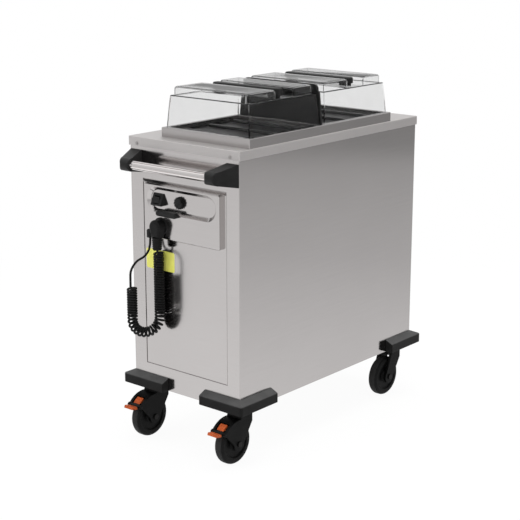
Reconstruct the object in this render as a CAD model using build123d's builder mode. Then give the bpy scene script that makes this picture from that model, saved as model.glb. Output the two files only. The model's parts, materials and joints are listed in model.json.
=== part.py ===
from build123d import *
import math
import os

# Heated plate dispenser: a trolley with two heated wells for plates under clear lids.
# Millimetres. The origin is on the floor, under the middle of the trolley. +Z is up and the
# operator's end, with the push handle and the controls, faces -Y.

# Cabinet
body_width = 410.0
body_length = 836.0
deck_height = 900.0
body_setback = 30.0
sheet = 1.5
base_thickness = 3.0
deck_overhang = 4.0
deck_skirt = 26.0
deck_corner = 3.0
deck_screw_inset = 30.0
deck_screw_drop = 18.0
screw_shank = 5.0
screw_head = 9.0
screw_head_height = 2.4
screw_clearance = 0.2

# Service opening in the front, with its panel
opening_width = 316.0
opening_rise = 70.0
opening_drop = 116.0
seat_depth = 3.0
lip_width = 16.0
panel_gap = 2.0
gutter_proud = 5.0

# Control plate with its dished recess
control_drop = 10.0
control_width = 284.0
control_height = 154.0
control_depth = 14.0
control_edge = 5.0
control_seat = 6.0
dish_length = 262.0
dish_height = 74.0
dish_drop = 43.0
dish_depth = 10.0
dish_taper = 45.0

# Temperature knob and thermostat
knob_x = -11.0
knob_diameter = 31.0
knob_skirt = 35.0
knob_skirt_height = 2.0
knob_height = 8.0
knob_gap = 1.0
knob_round = 2.0
pointer_angle = 30.0
pointer_width = 7.0
pointer_height = 2.5
shaft_diameter = 6.0
shaft_length = 16.0
shaft_hole = 9.0
thermostat_size = 46.0
thermostat_depth = 28.0
thermostat_round = 4.0
running_clearance = 0.05

# Rocker switch in its sloped housing
switch_x = -92.0
switch_width = 38.0
switch_height = 34.0
switch_top_depth = 3.0
switch_bottom_depth = 18.0
switch_round = 3.0
switch_body_width = 30.0
switch_body_height = 28.0
switch_body_depth = 20.0
rocker_width = 21.0
rocker_length = 18.0
rocker_proud = 2.5
rocker_pivot_depth = 5.0
rocker_below = 3.5
rocker_tilt = 8.0
rocker_draft = 1.5
rocker_dish = 1.2
rocker_gap = 0.5
rocker_swing_room = 3.0
rocker_pin = 3.0
rocker_pin_seat = 2.0

# Parking socket, its hood, and the plug parked in it
socket_x = -78.0
socket_rise = 37.0
socket_flange = 50.0
socket_flange_height = 3.0
socket_bore = 40.0
socket_bore_depth = 15.0
socket_wall = 2.5
socket_depth = 30.0
hood_width = 76.0
hood_height = 15.0
hood_reach = 16.0
hood_rise = 76.0
hood_shift = 31.6
hood_corner = 6.5
hood_round = 4.0
plug_head = 42.0
plug_reach = 27.0
plug_drop = 30.0
plug_neck = 28.0
plug_round = 8.0
plug_clearance = 0.5
plug_nose = 14.0
pin_diameter = 4.8
pin_length = 12.0
pin_spacing = 19.0
relief_length = 36.0
relief_top = 27.0
relief_bottom = 24.0

# Cord: a tail from its outlet, then curls in a hanging loop up to the plug
cord_diameter = 6.6
outlet_x = -111.0
outlet_rise = 2.0
outlet_width = 17.0
outlet_height = 24.0
outlet_reach = 20.0
outlet_round = 7.0
outlet_top_round = 5.0
curl_radius = 12.0
curl_pitch = 7.3
bend_pitch = 10.4
curls_inner_leg = 26
curls_outer_leg = 13
loop_diameter = 82.0
loop_direction = (-0.426, -0.905)
lead_in = 3.0
lead_bend = 8.0
pitch_blend = 24.0
tail_bends = ((0, 0, -33), (-2, -24, -55), (-4, -52, -59), (-3, -79, -82))
tail_run_out = 18.0
tail_bend_share = 0.45

# Rim frame and wells
rim_width = 328.0
rim_side_margin = 0.0
rim_front_margin = 42.0
rim_rear_margin = 135.0
rim_height = 27.0
rim_wall = 16.0
lid_inset = 9.0
lid_gap = 18.0
well_rise = 74.0

# Plate platforms with their carriages, guide rods and lift springs
platform_drop = 14.0
platform_thickness = 2.0
platform_margin = 12.0
platform_corner = 20.0
platform_lip = 12.0
rib_height = 8.0
rib_width = 10.0
rib_setback = 29.75
rib_inset = 8.0
rib_count = 3
lift_travel = 440.0
arm_width = 40.0
arm_height = 25.0
arm_drop = 20.0
arm_reach = 150.0
slot_margin = 6.0
carriage_plate = 6.0
carriage_gap = 7.0
carriage_width = 150.0
bearing_height = 40.0
rod_diameter = 16.0
rod_spacing = 100.0
rod_offset = 20.0
bearing_wall = 8.0
rod_clearance = 0.1
spring_diameter = 26.0
spring_wire = 4.0
spring_offset = 33.0
carriage_floor_gap = 8.0

# Heating elements and terminal block
heater_diameter = 8.5
heater_bend = 24.0
heater_inset = 30.0
heater_pass = 60.0
heater_return = 40.0
terminal_length = 60.0
terminal_width = 30.0
terminal_height = 35.0
terminal_setback = 12.0
terminal_round = 3.0

# Lids, their handles and the divider between them
lid_clearance = 0.3
lid_wall = 3.0
lid_skirt = 90.0
lid_draft = 10.0
lid_ledge = 5.0
lid_step = 25.0
lid_base_corner = 8.0
lid_step_corner = 12.0
lid_step_round = 9.0
channel_width = 71.0
channel_setback = 15.75
bar_width = 28.0
bar_height = 18.0
bar_end_inset = 17.0
bar_corner = 10.0
bar_round = 5.0
foot_length = 48.0
foot_inset = 4.0
foot_sink = 1.0
divider_thickness = 8.0
divider_inset = 2.0
divider_corner = 15.0

# Push handle
handle_drop = 70.0
handle_reach = 55.5
handle_diameter = 26.0
handle_bore = 22.0
handle_seat = 20.0
bracket_inset = 2.0
bracket_width = 43.0
bracket_lean = 28.0
bracket_tip_width = 36.0
bracket_tip_round = 9.0
bracket_below = 30.0
bracket_above = 34.0
bracket_nose = 19.0
bracket_nose_ahead = 1.0

# Corner bumpers
bumper_proud = 26.0
bumper_leg = 134.0
bumper_height = 40.0
bumper_slope = 12.0
bumper_corner = 8.0
bumper_end_round = 3.0

# Castors
castor_inset_x = 40.0
castor_inset_front = 44.0
castor_inset_rear = 54.0
castor_trail = 33.0
castor_head = 37.0
wheel_diameter = 125.0
wheel_width = 32.0
tread_round = 11.0
core_diameter = 92.0
core_recess = 5.0
hub_diameter = 36.0
hub_gap = 0.5
axle_diameter = 10.0
axle_head = 17.0
axle_head_height = 4.0
fork_gap = 2.0
fork_wall = 9.0
wheel_room = 4.0
arch_room = 10.0
crown_diameter = 47.0
crown_drop = 44.0
crown_lip = 18.0
crown_gap = 0.6
guard_wall = 5.5
guard_nose_angle = 36.0
guard_ahead = 28.0
axle_boss = 21.0
plate_length = 84.0
plate_width = 80.0
plate_thickness = 4.0
king_pin = 20.0
king_pin_length = 20.0
king_pin_gap = 3.0

# Brake pedals on the front castors
pedal_pivot_out = 8.5
pedal_pivot_angle = 38.0
pedal_gap = 0.6
pedal_boss = 6.0
pedal_pin = 5.0
pedal_eye = 6.5
tongue_length = 30.0
tongue_corners = ((-2, -6.5), (-tongue_length, -1), (3 - tongue_length, 6.5), (-4, 1.5))
tab_gap = 3.5
tab_width = 24.0
tab_angles = (38.0, 62.0)

# Places worked out from the sizes above
axle_z = wheel_diameter / 2
base_height = wheel_diameter + castor_head
crown_bottom = base_height - crown_drop
guard_radius = wheel_diameter / 2 + wheel_room + guard_wall
pedal_pivot_radius = wheel_diameter / 2 + pedal_pivot_out
pedal_pivot_ahead = pedal_pivot_radius * math.cos(math.radians(pedal_pivot_angle))
pedal_pivot_z = axle_z + pedal_pivot_radius * math.sin(math.radians(pedal_pivot_angle))
bracket_reach = handle_reach + bracket_nose_ahead + bracket_nose
front_y = body_setback - body_length / 2
rear_y = body_setback + body_length / 2
side_x = body_width / 2
inner_x = side_x - sheet
deck_under = deck_height - sheet
opening_bottom = base_height + opening_rise
opening_top = deck_height - opening_drop
panel_top = opening_top - panel_gap
control_top = opening_top - control_drop
control_bottom = control_top - control_height
dish_z = control_top - dish_drop
socket_z = control_bottom + socket_rise
hood_z = control_bottom + hood_rise
outlet_z = control_bottom + outlet_rise
seat_y = front_y + seat_depth
panel_y = seat_y - sheet
control_y = panel_y - control_depth
dish_floor_y = control_y + dish_depth
rim_right = side_x - rim_side_margin
rim_left = rim_right - rim_width
rim_length = body_length - rim_front_margin - rim_rear_margin
liner_left = rim_left + rim_wall - sheet
well_left = rim_left + rim_wall
well_right = rim_right - rim_wall
well_x = (well_left + well_right) / 2
rim_x = (rim_left + rim_right) / 2
rim_front = front_y + rim_front_margin
rim_y = rim_front + rim_length / 2
rim_top = deck_height + rim_height
lid_width = rim_right - rim_left - 2 * lid_inset
lid_length = (rim_length - 2 * lid_inset - lid_gap) / 2
well_margin = rim_wall - lid_inset
well_length = lid_length - 2 * well_margin
lid_front_y = rim_front + lid_inset
lid_starts = {"front": lid_front_y, "rear": lid_front_y + lid_length + lid_gap}
well_floor = base_height + well_rise
well_starts = {end: start + well_margin for end, start in lid_starts.items()}
platform_z = rim_top - platform_drop
rib_spacing = (well_length - 2 * platform_margin - 2 * rib_setback) / (rib_count - 1)
carriage_bottom = base_height + base_thickness + carriage_floor_gap + lift_travel
carriage_right = liner_left - carriage_gap
rod_x = carriage_right - carriage_plate - rod_offset
spring_x = rod_x - spring_offset
castor_x = side_x - castor_inset_x
castor_y = {"front": front_y + castor_inset_front, "rear": rear_y - castor_inset_rear}


os.makedirs("parts", exist_ok=True)


def save(piece, name):
    piece.part.label = name
    export_step(piece.part, f"parts/{name}.step")


def block(x_range, y_range, z_range, mode=Mode.ADD):
    corners = list(zip(x_range, y_range, z_range))
    middle = [(low + high) / 2 for low, high in zip(*corners)]
    with Locations(tuple(middle)):
        Box(*[high - low for low, high in zip(*corners)], mode=mode)


def facing_front(y, x=0.0, z=0.0):
    return Plane(origin=(x, y, z), x_dir=(1, 0, 0), z_dir=(0, -1, 0))


# Cabinet panels; the service panel has a sloped gutter over the control plate
with BuildPart() as base_pan:
    block(
        (-inner_x, inner_x),
        (front_y + sheet, rear_y - sheet),
        (base_height, base_height + base_thickness),
    )
save(base_pan, "base_pan")

for side, sign in (("left", -1), ("right", 1)):
    with BuildPart() as side_panel:
        block(sorted((sign * inner_x, sign * side_x)), (front_y, rear_y), (base_height, deck_under))
    save(side_panel, f"side_panel_{side}")

with BuildPart() as rear_panel:
    block((-inner_x, inner_x), (rear_y - sheet, rear_y), (base_height, deck_under))
save(rear_panel, "rear_panel")

opening_x = opening_width / 2
with BuildPart() as front_frame:
    block((-inner_x, inner_x), (front_y, front_y + sheet), (base_height, deck_under))
    block(
        (-opening_x - sheet, opening_x + sheet),
        (front_y, seat_y + sheet),
        (opening_bottom - sheet, opening_top + sheet),
    )
    block(
        (-opening_x, opening_x),
        (front_y, seat_y),
        (opening_bottom, opening_top),
        mode=Mode.SUBTRACT,
    )
    block(
        (-opening_x + lip_width, opening_x - lip_width),
        (seat_y, seat_y + sheet),
        (opening_bottom + lip_width, opening_top - lip_width),
        mode=Mode.SUBTRACT,
    )
save(front_frame, "front_frame")

panel_x = opening_x - panel_gap
with BuildPart() as service_panel:
    block((-panel_x, panel_x), (panel_y, seat_y), (opening_bottom + panel_gap, panel_top))
    with BuildSketch(Plane.YZ.offset(-panel_x)):
        with BuildLine():
            Polyline(
                (panel_y, control_top),
                (panel_y - gutter_proud, control_top),
                (panel_y, panel_top),
                close=True,
            )
        make_face()
    extrude(amount=2 * panel_x)
    block(
        (-control_width / 2 + control_seat, control_width / 2 - control_seat),
        (panel_y, seat_y),
        (control_bottom + control_seat, control_top - control_seat),
        mode=Mode.SUBTRACT,
    )
save(service_panel, "service_panel")

# Control plate: a folded sheet box with a dish pressed into its face
control_z = (control_bottom + control_top) / 2
with BuildPart() as control_plate:
    with BuildSketch(facing_front(panel_y, 0, control_z)):
        RectangleRounded(control_width, control_height, control_edge)
    extrude(amount=control_depth)
    fillet(control_plate.faces().sort_by(Axis.Y)[0].edges(), control_edge - sheet)
    with BuildSketch(facing_front(panel_y, 0, control_z)):
        RectangleRounded(control_width - 2 * sheet, control_height - 2 * sheet, control_edge - sheet)
    extrude(amount=control_depth - sheet, mode=Mode.SUBTRACT)
    with BuildSketch(facing_front(control_y, 0, dish_z)):
        SlotOverall(dish_length + 2 * sheet, dish_height + 2 * sheet)
    extrude(amount=-dish_depth - sheet, taper=dish_taper)
    with BuildSketch(facing_front(control_y, 0, dish_z)):
        SlotOverall(dish_length, dish_height)
    extrude(amount=-dish_depth, taper=dish_taper, mode=Mode.SUBTRACT)
    with BuildSketch(facing_front(dish_floor_y, 0, 0)):
        with Locations((knob_x, dish_z)):
            Circle(shaft_hole / 2)
        with Locations((switch_x, dish_z)):
            Rectangle(switch_body_width, switch_body_height)
    extrude(amount=-2 * sheet, mode=Mode.SUBTRACT)
    with BuildSketch(facing_front(control_y, socket_x, socket_z)):
        Circle(socket_bore / 2 + socket_wall)
    extrude(amount=-2 * sheet, mode=Mode.SUBTRACT)
save(control_plate, "control_plate")

# Temperature knob on its shaft, and the thermostat behind the dish
with BuildPart() as temperature_knob:
    with BuildSketch(facing_front(dish_floor_y - knob_gap, knob_x, dish_z)):
        Circle(knob_skirt / 2)
    extrude(amount=knob_skirt_height)
    with BuildSketch(facing_front(dish_floor_y - knob_gap, knob_x, dish_z)):
        Circle(knob_diameter / 2)
    extrude(amount=knob_height)
    fillet(temperature_knob.faces().sort_by(Axis.Y)[0].edges(), knob_round)
    with BuildSketch(facing_front(dish_floor_y - knob_gap - knob_height, knob_x, dish_z)):
        SlotOverall(knob_diameter - 2 * knob_round, pointer_width, rotation=pointer_angle)
    extrude(amount=pointer_height)
    with BuildSketch(facing_front(dish_floor_y - knob_gap, knob_x, dish_z)):
        Circle(shaft_diameter / 2)
    extrude(amount=-shaft_length - knob_gap)
save(temperature_knob, "temperature_knob")

with BuildPart() as thermostat:
    with BuildSketch(facing_front(dish_floor_y + sheet, knob_x, dish_z)):
        RectangleRounded(thermostat_size, thermostat_size, thermostat_round)
    extrude(amount=-thermostat_depth)
    with BuildSketch(facing_front(dish_floor_y + sheet, knob_x, dish_z)):
        Circle(shaft_diameter / 2 + running_clearance)
    extrude(amount=-shaft_length, mode=Mode.SUBTRACT)
save(thermostat, "thermostat")

# Rocker switch: the housing's face slopes up towards the operator
switch_face = Plane(
    origin=(switch_x, dish_floor_y - (switch_top_depth + switch_bottom_depth) / 2, dish_z),
    x_dir=(1, 0, 0),
    z_dir=(0, -switch_height, switch_bottom_depth - switch_top_depth),
)
rocker_axis_point = switch_face.from_local_coords((0, 0, -rocker_pivot_depth))
rocker_face = Plane(rocker_axis_point, x_dir=(1, 0, 0), z_dir=switch_face.z_dir)
rocker_plane = rocker_face.rotated((rocker_tilt, 0, 0))
pocket_depth = rocker_pivot_depth + rocker_below + rocker_swing_room
with BuildPart() as switch_housing:
    with BuildSketch(Plane.YZ.offset(switch_x - switch_width / 2)):
        with BuildLine():
            Polyline(
                (dish_floor_y, dish_z + switch_height / 2),
                (dish_floor_y - switch_top_depth, dish_z + switch_height / 2),
                (dish_floor_y - switch_bottom_depth, dish_z - switch_height / 2),
                (dish_floor_y, dish_z - switch_height / 2),
                close=True,
            )
        make_face()
    extrude(amount=switch_width)
    fillet(switch_housing.edges().filter_by(Axis.Z, reverse=True).sort_by(Axis.Y)[0:1], switch_round)
    with BuildSketch(facing_front(dish_floor_y, switch_x, dish_z)):
        Rectangle(switch_body_width, switch_body_height)
    extrude(amount=-switch_body_depth)
    with BuildSketch(switch_face):
        Rectangle(rocker_width + 2 * rocker_gap, rocker_length + 2 * rocker_swing_room)
    extrude(amount=-pocket_depth, mode=Mode.SUBTRACT)
    with Locations(Plane(rocker_axis_point, x_dir=(0, 1, 0), z_dir=(1, 0, 0))):
        Cylinder(
            rocker_pin / 2 + running_clearance,
            rocker_width + 2 * rocker_gap + 2 * rocker_pin_seat,
            mode=Mode.SUBTRACT,
        )
save(switch_housing, "switch_housing")

rocker_top = rocker_pivot_depth + rocker_proud
with BuildPart() as switch_rocker:
    with BuildSketch(Plane(rocker_axis_point, x_dir=rocker_plane.y_dir, z_dir=(1, 0, 0))):
        with BuildLine():
            Polyline(
                (-rocker_length / 2, rocker_top),
                (-rocker_length / 2 + rocker_draft, -rocker_below),
                (rocker_length / 2 - rocker_draft, -rocker_below),
                (rocker_length / 2, rocker_top),
            )
            ThreePointArc(
                (rocker_length / 2, rocker_top),
                (0, rocker_top - rocker_dish),
                (-rocker_length / 2, rocker_top),
            )
        make_face()
    extrude(amount=rocker_width / 2, both=True)
    with Locations(Plane(rocker_axis_point, x_dir=(0, 1, 0), z_dir=(1, 0, 0))):
        Cylinder(rocker_pin / 2, rocker_width + 2 * rocker_gap + 2 * rocker_pin_seat - rocker_gap)
save(switch_rocker, "switch_rocker")

# Parking socket for the plug, with a hood over it
with BuildPart() as parking_socket:
    with BuildSketch(facing_front(control_y, socket_x, socket_z)):
        Circle(socket_flange / 2)
    extrude(amount=socket_flange_height)
    with BuildSketch(facing_front(control_y, socket_x, socket_z)):
        Circle(socket_bore / 2 + socket_wall)
    extrude(amount=-socket_depth)
    with BuildSketch(facing_front(control_y - socket_flange_height, socket_x, socket_z)):
        Circle(socket_bore / 2)
    extrude(amount=-socket_bore_depth, mode=Mode.SUBTRACT)
    with BuildSketch(facing_front(control_y - socket_flange_height, socket_x, socket_z)):
        with GridLocations(pin_spacing, 0, 2, 1):
            Circle(pin_diameter / 2 + plug_clearance)
    extrude(amount=-plug_nose - pin_length - plug_clearance, mode=Mode.SUBTRACT)
save(parking_socket, "parking_socket")

with BuildPart() as socket_hood:
    with BuildSketch(facing_front(control_y, socket_x + hood_shift, hood_z)):
        RectangleRounded(hood_width, hood_height, hood_corner)
    extrude(amount=hood_reach)
    fillet(socket_hood.faces().sort_by(Axis.Y)[0].edges(), hood_round)
save(socket_hood, "socket_hood")

# Mains plug, parked with its cord hanging down
plug_y = control_y - socket_flange_height
relief_y = plug_y - plug_reach / 2
relief_z = socket_z - plug_drop
with BuildPart() as mains_plug:
    with BuildSketch(facing_front(plug_y, socket_x, socket_z)):
        Circle(plug_head / 2)
        with BuildLine():
            Polyline(
                (-plug_head / 2, 0),
                (plug_head / 2, 0),
                (plug_neck / 2, -plug_drop),
                (-plug_neck / 2, -plug_drop),
                close=True,
            )
        make_face()
    extrude(amount=plug_reach)
    fillet(mains_plug.faces().sort_by(Axis.Y)[0].edges(), plug_round)
    with BuildSketch(facing_front(plug_y, socket_x, socket_z)):
        Circle(socket_bore / 2 - plug_clearance)
    extrude(amount=-plug_nose)
    with BuildSketch(facing_front(plug_y + plug_nose, socket_x, socket_z)):
        with GridLocations(pin_spacing, 0, 2, 1):
            Circle(pin_diameter / 2)
    extrude(amount=-pin_length)
    with BuildSketch(Plane.XZ.offset(-relief_y)):
        with BuildLine():
            Polyline(
                (socket_x, relief_z),
                (socket_x + relief_top / 2, relief_z),
                (socket_x + relief_bottom / 2, relief_z - relief_length),
                (socket_x, relief_z - relief_length),
                close=True,
            )
        make_face()
    revolve(axis=Axis((socket_x, relief_y, 0), (0, 0, 1)))
save(mains_plug, "mains_plug")

# Cord outlet on the control plate, pointing down
outlet_y = control_y - outlet_reach / 2
with BuildPart() as cord_outlet:
    block(
        (outlet_x - outlet_width / 2, outlet_x + outlet_width / 2),
        (control_y - outlet_reach, control_y),
        (outlet_z, outlet_z + outlet_height),
    )
    fillet(cord_outlet.edges().filter_by(Axis.Z).group_by(Axis.Y)[0], outlet_round)
    fillet(cord_outlet.faces().sort_by(Axis.Z)[-1].edges().sort_by(Axis.Y)[0:3], outlet_top_round)
save(cord_outlet, "cord_outlet")

# Curls: a helix round the axis of a hanging loop, from the plug down, round and up to the tail
up = Vector(0, 0, 1)
outward = Vector(*loop_direction, 0).normalized()
across = up.cross(outward)
loop_radius = loop_diameter / 2
inner_leg = curls_inner_leg * curl_pitch
outer_leg = curls_outer_leg * curl_pitch
bend_length = math.pi * loop_radius
axis_length = inner_leg + bend_length + outer_leg
plug_end = Vector(socket_x, relief_y, relief_z - relief_length)
curl_entry = plug_end - up * (lead_in + lead_bend) - outward * lead_bend
axis_start = curl_entry - across * curl_radius


def loop_axis(along):
    """Point on the loop's axis and the direction from there to the inside of the bend."""
    if along < inner_leg:
        return axis_start - up * along, outward
    bend_top = axis_start - up * inner_leg + outward * loop_radius
    turn = min((along - inner_leg) / loop_radius, math.pi)
    inside = outward * math.cos(turn) + up * math.sin(turn)
    rise = max(along - inner_leg - bend_length, 0.0)
    return bend_top - inside * loop_radius + up * rise, inside


def pitch_at(along):
    """Curls are close together on the straight legs and open out round the bend."""
    into = (along - inner_leg) / pitch_blend + 1
    out_of = (inner_leg + bend_length - along) / pitch_blend + 1
    share = max(0.0, min(1.0, into, out_of))
    return curl_pitch + (bend_pitch - curl_pitch) * share * share * (3 - 2 * share)


axis_steps = 4000
axis_step = axis_length / axis_steps
turns_so_far = [0.0]
for step in range(axis_steps):
    turns_so_far.append(turns_so_far[-1] + axis_step / pitch_at((step + 0.5) * axis_step))
half_turns = 2 * round(turns_so_far[-1])


def curl_point(half_turn):
    """Point on the wire's centre line after a number of half turns, whole or not."""
    wanted = half_turn / half_turns * turns_so_far[-1]
    low = 0
    high = axis_steps
    while high - low > 1:
        middle = (low + high) // 2
        if turns_so_far[middle] <= wanted:
            low = middle
        else:
            high = middle
    share = (wanted - turns_so_far[low]) / (turns_so_far[high] - turns_so_far[low])
    centre, inside = loop_axis((low + share) * axis_step)
    angle = math.pi / 2 + math.pi * half_turn
    return centre + inside * (curl_radius * math.cos(angle)) + across * (curl_radius * math.sin(angle))


def curl_tangent(half_turn):
    before = max(half_turn - 0.01, 0.0)
    after = min(half_turn + 0.01, float(half_turns))
    return (curl_point(after) - curl_point(before)).normalized()


def curl_biarc(half_turn):
    """Two arcs, tangent to each other, along half a turn of the wire."""
    start = curl_point(half_turn)
    end = curl_point(half_turn + 1)
    start_way = -outward if half_turn == 0 else curl_tangent(half_turn)
    end_way = outward if half_turn + 1 == half_turns else curl_tangent(half_turn + 1)
    chord = end - start
    both_ways = start_way + end_way
    spread = 2 * (1 - start_way.dot(end_way))
    reach = math.sqrt(chord.dot(both_ways) ** 2 + spread * chord.dot(chord)) - chord.dot(both_ways)
    start_corner = start + start_way * (reach / spread)
    end_corner = end - end_way * (reach / spread)
    joint = (start_corner + end_corner) * 0.5
    TangentArc(start, joint, tangent=start_way)
    TangentArc(joint, end, tangent=(end_corner - start_corner).normalized())


curl_exit = curl_point(half_turns)
exit_top = curl_exit + outward * lead_bend + up * lead_bend
tail_end = exit_top + up * lead_in
with BuildPart() as curly_cord:
    with BuildLine() as curl_path:
        Line(plug_end, plug_end - up * lead_in)
        TangentArc(plug_end - up * lead_in, curl_entry, tangent=-up)
        for half_turn in range(half_turns):
            curl_biarc(half_turn)
        TangentArc(curl_exit, exit_top, tangent=outward)
        Line(exit_top, tail_end)
    with BuildSketch(Plane(plug_end, z_dir=-up)):
        Circle(cord_diameter / 2)
    sweep()
save(curly_cord, "curly_cord")

samples_per_half_turn = 12
curl_samples = [
    curl_point(index / samples_per_half_turn) for index in range(half_turns * samples_per_half_turn + 1)
]
nearest = min(
    (curl_samples[index + ahead] - curl_samples[index]).length
    for index in range(len(curl_samples))
    for ahead in range(samples_per_half_turn, 5 * samples_per_half_turn)
    if index + ahead < len(curl_samples)
)
wire_length = curl_path.wire().length
wire_section = math.pi * cord_diameter**2 / 4
print(f"curls {half_turns / 2:.0f}, least gap {nearest - cord_diameter:.2f} mm, wire {wire_length:.0f} mm")
print(f"curl volume {curly_cord.part.volume:.0f}, section times length {wire_section * wire_length:.0f}")

# Tail of the cord, from its outlet out and down to the curls
outlet_exit = Vector(outlet_x, outlet_y, outlet_z)
tail_route = [outlet_exit]
tail_route += [outlet_exit + Vector(*offset) for offset in tail_bends]
tail_route += [tail_end + up * tail_run_out, tail_end]
tail_radii = []
for before, corner, after in zip(tail_route, tail_route[1:], tail_route[2:]):
    half_angle = math.radians((corner - before).get_angle(after - corner)) / 2
    shorter_run = min((corner - before).length, (after - corner).length)
    tail_radii.append(tail_bend_share * shorter_run / math.tan(half_angle))
with BuildPart() as cord_tail:
    with BuildLine() as tail_path:
        FilletPolyline(*tail_route, radius=tail_radii)
    with BuildSketch(Plane(outlet_exit, z_dir=-up)):
        Circle(cord_diameter / 2)
    sweep()
save(cord_tail, "cord_tail")
tail_length = tail_path.wire().length
print("tail radii", [round(radius, 1) for radius in tail_radii], f"length {tail_length:.0f}")
print(f"tail volume {cord_tail.part.volume:.0f}, section times length {wire_section * tail_length:.0f}")

# Top deck: a folded sheet with an opening for the rim frame
deck_x = side_x + deck_overhang
deck_front = front_y - deck_overhang
deck_rear = rear_y + deck_overhang
well_ranges = {end: (start, start + well_length) for end, start in well_starts.items()}
screw_z = deck_height - deck_screw_drop
deck_screw_x = side_x - deck_screw_inset
with BuildPart() as top_deck:
    block((-deck_x, deck_x), (deck_front, deck_rear), (deck_height - deck_skirt, deck_height))
    fillet(top_deck.edges().filter_by(Axis.Z), deck_corner)
    fillet(top_deck.faces().sort_by(Axis.Z)[-1].edges(), deck_corner - sheet / 2)
    block(
        (-deck_x + sheet, deck_x - sheet),
        (deck_front + sheet, deck_rear - sheet),
        (deck_height - deck_skirt, deck_under),
        mode=Mode.SUBTRACT,
    )
    with BuildSketch(Plane.XY.offset(deck_under)):
        with Locations((rim_x, rim_y)):
            RectangleRounded(rim_width, rim_length, deck_corner)
    extrude(amount=sheet, mode=Mode.SUBTRACT)
    with BuildSketch(facing_front(deck_front, 0, screw_z)):
        with GridLocations(2 * deck_screw_x, 0, 2, 1):
            Circle(screw_shank / 2 + screw_clearance)
    extrude(amount=-deck_rear + deck_front, mode=Mode.SUBTRACT)
save(top_deck, "top_deck")

shank_length = deck_overhang - 2 * screw_clearance
with BuildPart() as deck_screws:
    for face_y, way in ((deck_front, 1), (deck_rear, -1)):
        with BuildSketch(Plane(origin=(0, face_y, screw_z), x_dir=(1, 0, 0), z_dir=(0, -way, 0))):
            with GridLocations(2 * deck_screw_x, 0, 2, 1):
                Circle(screw_head / 2)
        extrude(amount=screw_head_height)
    fillet(deck_screws.faces().filter_by(Axis.Y).group_by(Axis.Y)[0].edges(), screw_head_height / 2)
    fillet(deck_screws.faces().filter_by(Axis.Y).group_by(Axis.Y)[-1].edges(), screw_head_height / 2)
    for face_y, way in ((deck_front, 1), (deck_rear, -1)):
        with BuildSketch(Plane(origin=(0, face_y, screw_z), x_dir=(1, 0, 0), z_dir=(0, way, 0))):
            with GridLocations(2 * deck_screw_x, 0, 2, 1):
                Circle(screw_shank / 2)
        extrude(amount=shank_length)
save(deck_screws, "deck_screws")

# Rim frame: a folded collar round both wells, open below, that rises through the deck
rim_rear = rim_front + rim_length
with BuildPart() as rim_frame:
    block((rim_left, rim_right), (rim_front, rim_rear), (deck_under, rim_top))
    fillet(rim_frame.edges().filter_by(Axis.Z), deck_corner)
    fillet(rim_frame.faces().sort_by(Axis.Z)[-1].edges(), deck_corner - sheet / 2)
    block(
        (rim_left + sheet, rim_right - sheet),
        (rim_front + sheet, rim_rear - sheet),
        (deck_under, rim_top - sheet),
        mode=Mode.SUBTRACT,
    )
    for well_start, well_end in well_ranges.values():
        collar_y = (well_start - sheet, well_end + sheet)
        block((well_left - sheet, well_right + sheet), collar_y, (deck_under, rim_top - sheet))
    for well_range in well_ranges.values():
        block((well_left, well_right), well_range, (deck_under, rim_top), mode=Mode.SUBTRACT)
save(rim_frame, "rim_frame")

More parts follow.
